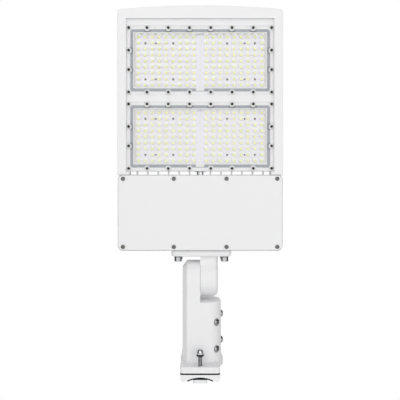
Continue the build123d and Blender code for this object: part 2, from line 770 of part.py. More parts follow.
# Arm: the slip-fitter body, bevelled ear, flared foot and pole flange in one casting.
set_screws = {}
for row, height in enumerate(("lower", "upper")):
    screw_z = flange_top + set_screw_low + row * set_screw_pitch
    set_screws[f"{height}_front_set_screw"] = (screw_z, set_screw_angle, set_screw_seat_r)
    set_screws[f"{height}_side_set_screw"] = (screw_z + set_screw_side_rise, 0, side_seat_r)
with BuildPart() as arm:
    with BuildSketch(at_side(-arm_left)):
        with Locations((0, pivot_z)):
            Circle(knuckle_r)
        with Locations((0, (flange_top + pivot_z) / 2)):
            Rectangle(2 * knuckle_r, pivot_z - flange_top)
    extrude(amount=ear_face_x + arm_left)
    ear_side = arm.faces().sort_by(Axis.X)[0]
    bevelled = ear_side.edges().filter_by(lambda e: e.center().Z > flange_top + pick_margin)
    chamfer(bevelled, ear_bevel_face, ear_bevel_side, reference=ear_side)
    with BuildSketch(Plane.XY.offset(flange_top)):
        with Locations(((ear_face_x + arm_right) / 2, 0)):
            Rectangle(arm_right - ear_face_x, 2 * knuckle_r)
    extrude(amount=step_z - flange_top)
    upright = arm.edges().filter_by(Axis.Z).filter_by_position(Axis.X, arm_right, arm_right)
    fillet(upright, arm_corner_r)
    step_rim = arm.faces().filter_by(Axis.Z).filter_by_position(Axis.Z, step_z, step_z).edges()
    fillet(step_rim.filter_by(lambda e: e.center().X > ear_face_x + pick_margin), step_r)
    # Flared foot between the body and the wider middle of the flange.
    with BuildSketch(Plane.XY.offset(flange_top)):
        with Locations((tube_x, 0)):
            RectangleRounded(lobe_w, lobe_d, lobe_r)
    with BuildSketch(Plane.XY.offset(flange_top + flare_h)):
        with Locations((tube_x, 0)):
            RectangleRounded(flare_top_w, flare_top_d, flare_top_r)
    loft()
    with BuildSketch(Plane.XY.offset(flange_z)):
        RectangleRounded(flange_w, flange_d, flange_corner_r)
        with Locations((tube_x, 0)):
            RectangleRounded(lobe_w, lobe_d, lobe_r)
    extrude(amount=flange_t)
    # Tenon bore, stud holes and the way up for the wires.
    with BuildSketch(Plane.XY.offset(flange_z)):
        with Locations((tube_x, 0)):
            Circle(tenon_bore_r)
    extrude(amount=step_z - bore_roof - flange_z, mode=Mode.SUBTRACT)
    with BuildSketch(Plane.XY.offset(flange_z)):
        with Locations(*stud_spots):
            Circle(stud_r + bolt_room)
    extrude(amount=flange_t, mode=Mode.SUBTRACT)
    with BuildSketch(Plane.XY.offset(step_z - bore_roof)):
        with Locations((ear_face_x - wireway_depth / 2, 0)):
            Circle(wire_drop_r)
    extrude(amount=pivot_z - step_z + bore_roof, mode=Mode.SUBTRACT)
    # Friction ring pocket, wire way and sunk pivot hole in the ear.
    with BuildSketch(at_side(ear_face_x)):
        with Locations((0, pivot_z)):
            Circle(friction_ring_r + friction_ring_room)
    extrude(amount=-(friction_ring_t - knuckle_face_gap) / 2, mode=Mode.SUBTRACT)
    with BuildSketch(at_side(ear_face_x)):
        with Locations((0, pivot_z)):
            Circle(wireway_r)
    extrude(amount=-wireway_depth, mode=Mode.SUBTRACT)
    with BuildSketch(at_side(ear_face_x)):
        with Locations((0, pivot_z)):
            Circle(pivot_r + thread_fit)
    extrude(amount=-(ear_face_x + arm_left), mode=Mode.SUBTRACT)
    with BuildSketch(at_side(-arm_left)):
        with Locations((0, pivot_z)):
            Circle(pivot_sink_r)
    extrude(amount=pivot_sink, mode=Mode.SUBTRACT)
    # Spot faces and tapped holes of the set screws on the round corner and the flat side.
    for z, angle, screw_seat_r in set_screws.values():
        with BuildSketch(set_screw_plane(z, angle, screw_seat_r)):
            Circle(set_screw_pocket_r)
        extrude(amount=knuckle_r, mode=Mode.SUBTRACT)
        with BuildSketch(set_screw_plane(z, angle, screw_seat_r)):
            Circle(set_screw_r + thread_fit)
        extrude(amount=-(screw_seat_r - tenon_bore_r + set_screw_r), mode=Mode.SUBTRACT)
save(arm, "arm")

# Set screws with domed socket heads, home on their seats.
for name, (z, angle, screw_seat_r) in set_screws.items():
    seat = set_screw_plane(z, angle, screw_seat_r)
    with BuildPart() as set_screw:
        with BuildSketch(seat):
            Circle(set_screw_head_r)
        extrude(amount=set_screw_head_h)
        crown = set_screw.faces().sort_by(Axis(seat.origin, seat.z_dir))[-1]
        fillet(crown.edges(), set_screw_dome_r)
        with BuildSketch(seat.offset(set_screw_head_h)):
            RegularPolygon(set_screw_socket / 2, 6, major_radius=False)
        extrude(amount=-set_screw_socket_h, mode=Mode.SUBTRACT)
        with BuildSketch(seat):
            Circle(set_screw_r)
        extrude(amount=-set_screw_len)
    save(set_screw, name)

# Friction ring, clamped between the two halves of the knuckle.
with BuildPart() as friction_ring:
    with BuildSketch(at_side(knuckle_face_x - friction_ring_t / 2)):
        with Locations((0, pivot_z)):
            Circle(friction_ring_r)
            Circle(friction_ring_bore_r, mode=Mode.SUBTRACT)
    extrude(amount=friction_ring_t)
save(friction_ring, "friction_ring")

# Pivot bolt with its washer and nut, sunk in both sides of the knuckle.
head_x = -arm_left + pivot_sink
nut_seat_x = lug_outer_x - pivot_nut_sink
nut_x = nut_seat_x + thread_fit + pivot_washer_t
with BuildPart() as pivot_bolt:
    with BuildSketch(at_side(head_x)):
        with Locations((0, pivot_z)):
            Circle(pivot_head_r)
    extrude(amount=-pivot_head_h)
    with BuildSketch(at_side(head_x)):
        with Locations((0, pivot_z)):
            Circle(pivot_r)
    extrude(amount=nut_x + pivot_nut_h + pivot_end - head_x)
save(pivot_bolt, "pivot_bolt")

with BuildPart() as pivot_washer:
    with BuildSketch(at_side(nut_x)):
        with Locations((0, pivot_z)):
            Circle(pivot_washer_r)
            Circle(pivot_r + thread_fit, mode=Mode.SUBTRACT)
    extrude(amount=-pivot_washer_t)
save(pivot_washer, "pivot_washer")

with BuildPart() as pivot_nut:
    with BuildSketch(at_side(nut_x)):
        with Locations((0, pivot_z)):
            RegularPolygon(pivot_nut_flats / 2, 6, major_radius=False)
            Circle(pivot_r + thread_fit, mode=Mode.SUBTRACT)
    extrude(amount=pivot_nut_h)
save(pivot_nut, "pivot_nut")

# Flat rubber gasket between the flange and the adapter.
with BuildPart() as flange_gasket:
    with BuildSketch(Plane.XY.offset(adapter_h)):
        RectangleRounded(flange_w, flange_d, flange_corner_r)
        with Locations((tube_x, 0)):
            Circle(tenon_bore_r, mode=Mode.SUBTRACT)
        with Locations(*stud_spots):
            Circle(stud_r + bolt_room, mode=Mode.SUBTRACT)
    extrude(amount=flange_gasket_t)
save(flange_gasket, "flange_gasket")

# Pole adapter: a block with a hollow seat along Y for a round pole, between two flat lands.
with BuildPart() as pole_adapter:
    with BuildSketch(Plane.XZ):
        with BuildLine():
            Polyline(
                (-flange_w / 2, adapter_h),
                (-flange_w / 2, adapter_h - adapter_side_h),
                (-land_outer, 0),
                (land_outer, 0),
                (flange_w / 2, adapter_h - adapter_side_h),
                (flange_w / 2, adapter_h),
                close=True,
            )
        make_face()
        with Locations((0, seat_axis_z)):
            Circle(seat_r, mode=Mode.SUBTRACT)
    extrude(amount=flange_d / 2, both=True)
    with BuildSketch(Plane.XY):
        Circle(wire_hole_r)
        with Locations(*stud_spots):
            Circle(stud_r + bolt_room)
    extrude(amount=adapter_h, mode=Mode.SUBTRACT)
save(pole_adapter, "pole_adapter")

# Rubber strip that lines the hollow seat.
with BuildPart() as seat_gasket:
    with BuildSketch(Plane.XZ):
        with Locations((0, seat_axis_z)):
            Circle(seat_r)
            Circle(pole_r, mode=Mode.SUBTRACT)
        with Locations((0, seat_rise)):
            Rectangle(seat_gasket_w, 2 * seat_rise, mode=Mode.INTERSECT)
    extrude(amount=flange_d / 2, both=True)
    with BuildSketch(Plane.XY.offset(-seat_rise)):
        Circle(wire_hole_r)
        with Locations(*stud_spots):
            Circle(stud_r + bolt_room)
    extrude(amount=3 * seat_rise, mode=Mode.SUBTRACT)
save(seat_gasket, "seat_gasket")

# Clamp bar that goes inside the pole, its two studs and their flanged dome nuts.
with BuildPart() as clamp_bar:
    with BuildSketch(Plane.XY.offset(bar_z)):
        RectangleRounded(bar_w, 2 * (stud_y + bar_end), bar_corner_r)
        Circle(bar_hole_r, mode=Mode.SUBTRACT)
        with Locations(*stud_spots):
            Circle(stud_r + thread_fit, mode=Mode.SUBTRACT)
    extrude(amount=bar_t)
save(clamp_bar, "clamp_bar")

with BuildPart() as pole_studs:
    with BuildSketch(Plane.XY.offset(bar_z)):
        with Locations(*stud_spots):
            Circle(stud_r)
    extrude(amount=nut_z + nut_thread_h - bar_z)
save(pole_studs, "pole_studs")

with BuildPart() as dome_nuts:
    with BuildSketch(Plane.XY.offset(nut_z)):
        with Locations(*stud_spots):
            Circle(nut_flange_r)
    extrude(amount=nut_flange_h)
    with BuildSketch(Plane.XY.offset(nut_z + nut_flange_h)):
        with Locations(*stud_spots):
            RegularPolygon(nut_flats / 2, 6, major_radius=False)
    extrude(amount=nut_hex_h)
    with Locations(*[(x, y, nut_z + nut_flange_h + nut_hex_h) for x, y in stud_spots]):
        Sphere(nut_dome_r)
    with BuildSketch(Plane.XY.offset(nut_z)):
        with Locations(*stud_spots):
            Circle(stud_r + thread_fit)
    extrude(amount=nut_thread_h, mode=Mode.SUBTRACT)
save(dome_nuts, "dome_nuts")
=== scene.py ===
import json
import math

import bmesh
import bpy
import numpy as np
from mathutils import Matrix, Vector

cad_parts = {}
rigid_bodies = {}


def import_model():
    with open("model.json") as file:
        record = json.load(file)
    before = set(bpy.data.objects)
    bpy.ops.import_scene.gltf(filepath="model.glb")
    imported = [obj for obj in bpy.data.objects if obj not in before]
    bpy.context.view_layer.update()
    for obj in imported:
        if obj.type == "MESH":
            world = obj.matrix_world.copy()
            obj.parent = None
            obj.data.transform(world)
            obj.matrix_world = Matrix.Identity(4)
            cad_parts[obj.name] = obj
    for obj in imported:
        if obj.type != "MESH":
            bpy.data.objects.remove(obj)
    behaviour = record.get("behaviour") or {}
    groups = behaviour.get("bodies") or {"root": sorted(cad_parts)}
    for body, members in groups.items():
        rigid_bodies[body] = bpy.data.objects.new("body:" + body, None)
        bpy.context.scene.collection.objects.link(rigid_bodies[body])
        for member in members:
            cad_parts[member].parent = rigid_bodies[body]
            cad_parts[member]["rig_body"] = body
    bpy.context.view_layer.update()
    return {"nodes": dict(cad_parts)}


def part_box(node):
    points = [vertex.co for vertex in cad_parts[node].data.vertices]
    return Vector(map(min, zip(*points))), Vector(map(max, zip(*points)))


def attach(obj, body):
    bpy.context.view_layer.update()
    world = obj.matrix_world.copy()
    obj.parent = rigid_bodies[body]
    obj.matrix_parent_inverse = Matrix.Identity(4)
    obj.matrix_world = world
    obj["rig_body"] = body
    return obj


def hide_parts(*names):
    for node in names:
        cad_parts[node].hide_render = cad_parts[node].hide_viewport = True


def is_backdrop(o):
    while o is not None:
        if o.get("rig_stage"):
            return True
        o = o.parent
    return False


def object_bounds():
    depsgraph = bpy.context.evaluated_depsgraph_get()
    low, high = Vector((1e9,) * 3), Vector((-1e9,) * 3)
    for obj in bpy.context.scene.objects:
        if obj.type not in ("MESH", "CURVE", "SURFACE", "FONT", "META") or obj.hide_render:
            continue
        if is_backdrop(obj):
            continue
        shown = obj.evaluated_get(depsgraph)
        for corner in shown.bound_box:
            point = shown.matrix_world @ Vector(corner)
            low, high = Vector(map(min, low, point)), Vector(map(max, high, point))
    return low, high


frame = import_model()

# Housing: one aluminium die casting with the LED plate, fins, side rails and driver box.
# It is powder coated white, with the slight orange peel that baking leaves.
# Where the fins cross the open gap above the box, they are cut back to short bars.
mm = 0.001


def linear(code):
    """Linear colour with full alpha of an sRGB hex code: a line when dark, else a power of 2.4."""
    parts = [int(code[i:i + 2], 16) / 255 for i in (1, 3, 5)]
    return [c / 12.92 if c <= 0.04045 else ((c + 0.055) / 1.055) ** 2.4 for c in parts] + [1.0]


def add(tree, kind, sockets, **settings):
    """Add one shader node, whose named sockets get a value or a link from another node's output."""
    made = tree.nodes.new(kind)
    for key, value in settings.items():
        setattr(made, key, value)
    for key, value in sockets.items():
        if isinstance(value, bpy.types.NodeSocket):
            tree.links.new(value, made.inputs[key])
        else:
            made.inputs[key].default_value = value
    return made


def finish(name, code, roughness, metallic=0.0, grain=0.0, depth=0.0, shine=0.5):
    """Material of one colour whose surface waves by depth, in cells grain wide, in millimetres."""
    made = bpy.data.materials.new(name)
    made.use_nodes = True
    tree = made.node_tree
    shader = tree.nodes["Principled BSDF"]
    shader.inputs["Base Color"].default_value = linear(code)
    shader.inputs["Roughness"].default_value = roughness
    shader.inputs["Metallic"].default_value = metallic
    shader.inputs["Specular IOR Level"].default_value = shine
    if depth:
        place = add(tree, "ShaderNodeTexCoord", {}).outputs["Object"]
        cells = {"Vector": place, "Scale": 1 / (grain * mm), "Detail": 2.0}
        height = add(tree, "ShaderNodeTexNoise", cells).outputs["Fac"]
        bump = add(tree, "ShaderNodeBump", {"Height": height, "Distance": depth * mm})
        tree.links.new(bump.outputs["Normal"], shader.inputs["Normal"])
    return made


def dress(material, *nodes):
    """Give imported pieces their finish."""
    for node in nodes:
        mesh = frame["nodes"][node].data
        mesh.materials.clear()
        mesh.materials.append(material)


def limits(node):
    """Lowest and highest corner of a CAD node in millimetres."""
    low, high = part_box(node)
    return np.array(low) / mm, np.array(high) / mm


def weld(mesh, gap):
    """Join points of a mesh that lie closer together than a gap in metres."""
    shape = bmesh.new()
    shape.from_mesh(mesh)
    bmesh.ops.remove_doubles(shape, verts=shape.verts, dist=gap)
    shape.to_mesh(mesh)
    shape.free()


# Powder coat: a satin white whose shallow waves blur what it reflects.
paint = finish("white_powder_coat", "#ECECED", 0.5, grain=1.6, depth=0.03, shine=0.35)
dress(paint, "housing")
plate_depth, bar_back = 20.0, 2.0
gap_h, lens_margin, ridge_h, notch_over = 7.3, 0.6, 0.3, 8.0
fins_in, fins_out, fins_deep = 15.0, 133.0, 31.0
cast_weld, cast_crease = 1e-6, math.radians(25)
plate_edge = limits("lower_lens_plate")[0][2] - lens_margin
notch_y = np.array([limits("housing")[0][1] + plate_depth + bar_back, fins_deep])
notch_z = np.array([plate_edge - gap_h + ridge_h, plate_edge + notch_over])
casting = bpy.data.objects.new("housing_fine", frame["nodes"]["housing"].data.copy())
bpy.context.scene.collection.objects.link(casting)
if "custom_normal" in casting.data.attributes:
    casting.data.attributes.remove(casting.data.attributes["custom_normal"])
weld(casting.data, cast_weld)
for side in (-1, 1):
    middle = np.array([side * (fins_in + fins_out) / 2, notch_y.mean(), notch_z.mean()]) * mm
    span = (fins_out - fins_in, np.ptp(notch_y), np.ptp(notch_z))
    bpy.ops.mesh.primitive_cube_add(size=mm, location=tuple(middle), scale=span)
    cutter = bpy.context.object
    notch = casting.modifiers.new("notch", "BOOLEAN")
    notch.operation = "DIFFERENCE"
    notch.object = cutter
    bpy.context.view_layer.objects.active = casting
    bpy.ops.object.modifier_apply(modifier=notch.name)
    bpy.data.objects.remove(cutter)
casting.data.polygons.foreach_set("use_smooth", np.ones(len(casting.data.polygons), bool))
casting.data.set_sharp_from_angle(angle=cast_crease)
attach(casting, "head")
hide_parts("housing")

# Wire conduit: a drawn aluminium tube that carries the LED wires over the open gap.
# It is pressed into the driver box and into the boss behind the LED plate.
# Bare drawn aluminium: bright, with slightly blurred reflections.
dress(finish("bright_tube", "#DCDDDF", 0.25, metallic=1.0), "wire_conduit")

# LED boards: aluminium-core boards with a white solder mask, screwed down in each bay.
# Each LED has two tinned pads beside it, and two dark locating pins sit between the columns.
bays = ("lower", "upper")
hands = {"left": -1, "right": 1}
led_columns, led_rows = 9, 9
led_pitch_x, led_pitch_z, led_first_x = 14.05, 12.14, 12.4
screw_columns, screw_rows = (3, 7), (1, 7)
board_in, board_out = 1.8, 0.75
pad_w, pad_h, pad_t, pad_step = 2.2, 3.6, 0.08, 4.6
pin_column, pin_r, pin_h = 5.5, 1.7, 0.6
axis_r, pole_weld = 1e-6, 1e-7
face_on = np.array([[1, 0, 0], [0, 0, 1], [0, -1, 0]])


def around(count):
    """Evenly spaced directions of one full turn."""
    return np.arange(count) * 2 * np.pi / count


def bands(loops, length):
    """Four-sided faces between loops of points: each point, the next one, and the two above."""
    index = np.arange(loops * length).reshape(loops, length)
    after = np.roll(index, -1, 1)
    return np.stack([index[:-1], after[:-1], after[1:], index[1:]], -1).reshape(-1, 4)


def turned(rings, turn):
    """Surface round an axis: radius times cosine and sine of each direction of turn, and height.

    Each ring is a radius and a height, or arrays of them with one value per direction. Rings run
    from the underside outwards, up the side and back to the axis, so all faces look outwards.
    """
    radius = np.array([np.broadcast_to(r, len(turn)) for r, h in rings])
    height = np.array([np.broadcast_to(h, len(turn)) for r, h in rings])
    points = np.stack([radius * np.cos(turn), radius * np.sin(turn), height], -1)
    return points.reshape(-1, 3), bands(len(rings), len(turn))


def disc(radius, height, turn):
    """Disc standing on the XY plane: two rings of one radius, each closed at the axis."""
    return turned([(axis_r, 0), (radius, 0), (radius, height), (axis_r, height)], turn)


def block(width, height, thick):
    """Box standing on the XY plane: a disc of four corners, half of the diagonal from the axis."""
    lean = math.atan2(height, width)
    turn = np.array([lean, np.pi - lean, np.pi + lean, -lean])
    return disc(np.hypot(width, height) / 2, thick, turn)


def copies(shape, spots, axes):
    """The shape repeated at each spot, with its own X, Y and Z laid along the three axes."""
    points, faces = shape
    spots = np.array(spots, float).reshape(-1, 3)
    moved = (points @ axes)[None] + spots[:, None]
    steps = len(points) * np.arange(len(spots))
    return moved.reshape(-1, 3), (faces[None] + steps[:, None, None]).reshape(-1, 4)


def build(node, slot, materials, *shapes, sharp=35):
    """Piece that stands for a CAD node, from shapes in millimetres with their material's number."""
    points, faces, kinds, start = [], [], [], 0
    for (shape_points, shape_faces), kind in shapes:
        points.append(shape_points * mm)
        faces.append(shape_faces + start)
        kinds += [kind] * len(shape_faces)
        start += len(shape_points)
    mesh = bpy.data.meshes.new(node + "_fine")
    mesh.from_pydata(np.concatenate(points).tolist(), [], np.concatenate(faces).tolist())
    mesh.polygons.foreach_set("material_index", np.array(kinds, np.int32))
    mesh.polygons.foreach_set("use_smooth", np.ones(len(kinds), bool))
    weld(mesh, pole_weld)
    mesh.set_sharp_from_angle(angle=math.radians(sharp))
    for material in materials:
        mesh.materials.append(material)
    piece = bpy.data.objects.new(node + "_fine", mesh)
    bpy.context.scene.collection.objects.link(piece)
    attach(piece, frame["nodes"][node]["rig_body"])
    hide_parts(node)
    return piece


def board_spots(side, middle_z, depth, columns, rows):
    """Spots on one board: columns count out from the middle line, rows from the top, at a pitch."""
    column, row = np.meshgrid(columns, rows)
    x = side * (led_first_x + column.ravel() * led_pitch_x)
    z = middle_z + ((led_rows - 1) / 2 - row.ravel()) * led_pitch_z
    return np.stack([x, np.full_like(x, depth), z], -1)


def led_spots(side, middle_z, depth):
    """All spots of the board apart from those that the board screws take."""
    columns, rows = np.arange(led_columns), np.arange(led_rows)
    column, row = np.meshgrid(columns, rows)
    free = ~(np.isin(column, screw_columns) & np.isin(row, screw_rows))
    return board_spots(side, middle_z, depth, columns, rows)[free.ravel()]


# Solder mask: a smooth, slightly bluish white. Tinned pads: pale and dull under the lenses.
# Moulded pins: black dots without shine.
mask = finish("white_solder_mask", "#F1F0FB", 0.35, grain=6.0, depth=0.02)
tinned = finish("tinned_pads", "#CFCBEA", 0.4)
pin_dark = finish("locating_pins", "#161612", 0.6)
pad = block(pad_w, pad_h, pad_t)
pin = disc(pin_r, pin_h, around(12))
for bay in bays:
    for hand, side in hands.items():
        node = f"{bay}_{hand}_led_board"
        low, high = limits(node)
        middle_x, bay_z = (low[0] + high[0]) / 2, (low[2] + high[2]) / 2
        wide, thick, tall = high - low
        slab = block(wide + board_in + board_out, tall + 2 * board_out, thick)
        slab_x = middle_x + side * (board_out - board_in) / 2
        slab = copies(slab, [(slab_x, high[1], bay_z)], face_on)
        spots = led_spots(side, bay_z, low[1])
        pads = [(copies(pad, spots + [x, 0, 0], face_on), 1) for x in (-pad_step, pad_step)]
        pin_spots = board_spots(side, bay_z, low[1], [pin_column], screw_rows)
        pins = copies(pin, pin_spots, face_on)
        build(node, "white_board", [mask, tinned, pin_dark], (slab, 0), *pads, (pins, 2))

# LEDs: square packages of white resin with a dome of yellow phosphor, soldered in rows.
# The dome is drawn as large as the lens, which doesn't bend the light here, would show it.
package_size, package_t = 4.6, 0.4
dome_r, dome_h = 1.65, 6.0
painted_glow, patch_w = 0.18, 18.0
# Resin: a half-matt white. Phosphor in silicone: a clear yellow that differs a little between LEDs,
# in patches wider than their pitch. Its faint yellow glow is painted light that brightens the unlit
# LEDs.
package_white = finish("led_package", "#F4F4F0", 0.4)
phosphor = finish("led_phosphor", "#FCFF28", 0.3)
tree = phosphor.node_tree
shader = tree.nodes["Principled BSDF"]
shader.inputs["Emission Color"].default_value = linear("#F6FF50")
shader.inputs["Emission Strength"].default_value = painted_glow
place = add(tree, "ShaderNodeTexCoord", {}).outputs["Object"]
cells = {"Vector": place, "Scale": 1 / (patch_w * mm), "Detail": 0.0}
patch = add(tree, "ShaderNodeTexNoise", cells).outputs["Fac"]
# The mix node's sockets 6 and 7 are its two colours, and its output 2 is the mixed colour.
yellows = {"Factor": patch, 6: linear("#FCFF30"), 7: linear("#F8F820")}
tone = add(tree, "ShaderNodeMix", yellows, data_type="RGBA").outputs[2]
tree.links.new(tone, shader.inputs["Base Color"])
package = block(package_size, package_size, package_t)
rise = np.radians([0, 35, 65])
rings = [(dome_r * np.cos(a), package_t + dome_h * np.sin(a)) for a in rise]
dome = turned([(axis_r, package_t), *rings, (axis_r, package_t + dome_h)], around(10))
for bay in bays:
    for hand, side in hands.items():
        node = f"{bay}_{hand}_leds"
        low, high = limits(node)
        spots = led_spots(side, (low[2] + high[2]) / 2, high[1])
        packages, domes = copies(package, spots, face_on), copies(dome, spots, face_on)
        build(node, "led_phosphor", [package_white, phosphor], (packages, 0), (domes, 1))

# Board screws: small zinc-plated steel screws with a cross recess, two pairs in each board.
# They hold the boards down on the bays' floors.


def pan_head(radius, height, shank_r, shank_len):
    """Screw along Z with its head on the XY plane: a domed disc with a star-shaped cross recess.

    The crown is an ellipse on an edge of about half of the head's height. The recess is as deep
    as half of the head where the direction lies within an arm of the cross, and ends at a share
    of the radius.
    """
    edge, bulge, recess_end, arm_w = 0.55, 0.98, 0.68, 0.15
    turn = around(32)
    arm = np.minimum(np.abs(np.cos(turn)), np.abs(np.sin(turn)))
    rings = [(axis_r, -shank_len), (shank_r, -shank_len), (shank_r, 0), (radius, 0)]
    for share in (1.0, 0.97, 0.88, 0.75, 0.62, 0.5, 0.36, 0.22, 0.1, axis_r):
        crown = height * (edge + (1 - edge) * math.sqrt(1 - bulge * share * share))
        cut = (share < recess_end) & (arm * share < arm_w)
        rings.append((radius * share, crown - height / 2 * cut))
    return turned(rings, turn)


# Yellow zinc plating: a dull olive that looks dark under the lenses.
yellow_zinc = finish("yellow_zinc_plated_steel", "#6E6A48", 0.4, metallic=0.6)
head_r, head_h, shank_r, shank_len = 2.1, 1.8, 1.5, 5.0
screw = pan_head(head_r, head_h, shank_r, shank_len)
screws = []
for bay in bays:
    low, high = limits(f"{bay}_left_led_board")
    for side in hands.values():
        spots = board_spots(side, (low[2] + high[2]) / 2, low[1], screw_columns, screw_rows)
        screws.append((copies(screw, spots, face_on), 0))
build("board_screws", "dark_screw", [yellow_zinc], *screws)

# Lens seals: moulded silicone rings that lie in a groove under each lens plate's rim.
# They show through the clear rim as a grey band, notched at the screws.
# Silicone: a soft grey, too rough for a clear reflection.
silicone = finish("grey_silicone", "#9CA1A8", 0.6, grain=3.0, depth=0.04)
dress(silicone, "lower_lens_gasket", "upper_lens_gasket")

# Lens plates: clear moulded polycarbonate, a hollow lens over each LED and a boss at each screw.
# Shallow grooves part the lenses, and the flat rim is screwed down on the seal.
# A dark grey arc on its back, along the seal's notch at the top and side screws, is painted shade
# under each notch.
plate_t, plate_corner_r, air = 3.0, 3.0, 0.2
lens_r, lens_h, groove = 6.0, 4.0, 0.25
hollow_r, hollow_h = 5.2, 5.4
boss_r, boss_h = 5.8, 0.8
shade_in, shade_out, shade_t, shade_reach = 6.0, 8.2, 0.15, math.radians(68)
screw_inset, screw_pitch, screw_side_pitch, row_screws = 4.6, 42.6, 39.0, 6
top_row, left_pair, right_pair = slice(8, 14), slice(16, 18), slice(18, 20)
facing_right = np.array([[0, 0, 1], [-1, 0, 0], [0, -1, 0]])
facing_left = np.array([[0, 0, -1], [1, 0, 0], [0, -1, 0]])
gloss_index, haze = 1.35, 0.03


def lens_cell(radius, height, rim):
    """One lens: from a rectangle of one LED pitch at the rim in to a circle and up to a crown.

    The rings follow a quarter ellipse, with the cosine of the rise across and its sine up, so the
    lens rises steeply from its foot and is round at the top.
    """
    half_x, half_z = led_pitch_x / 2, led_pitch_z / 2
    lean = math.atan2(half_z, half_x)
    quarter = np.array([0, lean / 2, lean, (lean + np.pi / 2) / 2])
    half = np.concatenate([quarter, [np.pi / 2], np.pi - quarter[:0:-1]])
    turn = np.concatenate([half, np.pi + half])
    reach = 1 / np.maximum(np.abs(np.cos(turn)) / half_x, np.abs(np.sin(turn)) / half_z)
    rise = np.radians([0, 30, 55, 75, 90])
    rings = [(radius * np.cos(a) + axis_r, height * np.sin(a)) for a in rise]
    return turned([(reach, rim), *rings], turn)


def plate_outline(half_w, half_h, corner):
    """Loop round a rectangle: at each corner's centre, five points of a quarter circle."""
    steps = np.radians(np.linspace(0, 90, 5))
    parts = []
    for k, (i, j) in enumerate([(1, 1), (-1, 1), (-1, -1), (1, -1)]):
        bend = steps + k * np.pi / 2
        x = i * (half_w - corner) + corner * np.cos(bend)
        z = j * (half_h - corner) + corner * np.sin(bend)
        parts.append(np.stack([x, z], -1))
    return np.concatenate(parts)


def strips(loops):
    """Faces between loops of points that have the same length, each loop at its own height."""
    points = [np.column_stack([loop, np.full(len(loop), h)]) for loop, h in loops]
    return np.concatenate(points), bands(len(loops), len(loops[0][0]))


def flipped(shape):
    """The same shape with its faces looking the other way."""
    return shape[0], shape[1][:, ::-1]


def screw_ring(middle_z, depth, half_w, half_h):
    """Spots of the screws round a lens plate: a row below and one above, then two at each side.

    A row has the screws at an even pitch first and the two corners last.
    """
    along = (np.arange(row_screws) - (row_screws - 1) / 2) * screw_pitch
    edge_x, edge_z = half_w - screw_inset, half_h - screw_inset
    x = np.concatenate([along, [-edge_x, edge_x]])
    rows = [(i, depth, middle_z + j * edge_z) for j in (-1, 1) for i in x]
    side_z = middle_z + np.array([-1, 1]) * screw_side_pitch / 2
    sides = [(i * edge_x, depth, z) for i in (-1, 1) for z in side_z]
    return np.array(rows + sides)


def shade_arc(inner, outer, height, reach, steps=9):
    """Bar bent round the Z axis: a rectangle carried along an arc below it, with flat ends.

    A point lies its radius times the sine of the bend across and times the cosine down.
    """
    bend = np.linspace(-reach, reach, steps)[:, None]
    radius = np.array([inner, inner, outer, outer])
    level = np.broadcast_to([0, height, height, 0], (steps, 4))
    points = np.stack([np.sin(bend) * radius, -np.cos(bend) * radius, level], -1)
    points = points.reshape(-1, 3)
    ends = [[3, 2, 1, 0], len(points) - 4 + np.arange(4)]
    return points, np.concatenate([bands(steps, 4), ends])


# Painted notch shade: a dull dark grey. Polycarbonate: see-through, with a gloss that grows at a
# slant and a slight haze. It lets all light through to the LEDs behind it.
notch_shade_paint = finish("painted_notch_shade", "#55585D", 0.6)
clear = finish("clear_polycarbonate", "#FFFFFF", 0.04)
tree = clear.node_tree
coat = tree.nodes["Principled BSDF"].outputs["BSDF"]
passing = add(tree, "ShaderNodeBsdfTransparent", {"Color": linear("#FFFFFF")}).outputs["BSDF"]
gloss = add(tree, "ShaderNodeFresnel", {"IOR": gloss_index}).outputs["Fac"]
hazy = add(tree, "ShaderNodeMath", {0: gloss, 1: haze}, operation="ADD").outputs[0]
shadow = add(tree, "ShaderNodeLightPath", {}).outputs["Is Shadow Ray"]
share = add(tree, "ShaderNodeMix", {0: shadow, 2: hazy, 3: 0.0}).outputs[0]
blend = add(tree, "ShaderNodeMixShader", {0: share, 1: passing, 2: coat})
tree.links.new(blend.outputs["Shader"], tree.nodes["Material Output"].inputs["Surface"])
array_in = led_first_x - led_pitch_x / 2
array_out = array_in + led_columns * led_pitch_x
array_h = led_rows * led_pitch_z / 2
array_edge = plate_outline(array_out, array_h, 0.0)
web_x, web_z = array_in * np.array([-1, 1, 1, -1]), array_h * np.array([-1, -1, 1, 1])
boss = turned([(boss_r, 0), (boss_r, boss_h), (axis_r, boss_h)], around(20))
notch_shade = shade_arc(shade_in, shade_out, shade_t, shade_reach)
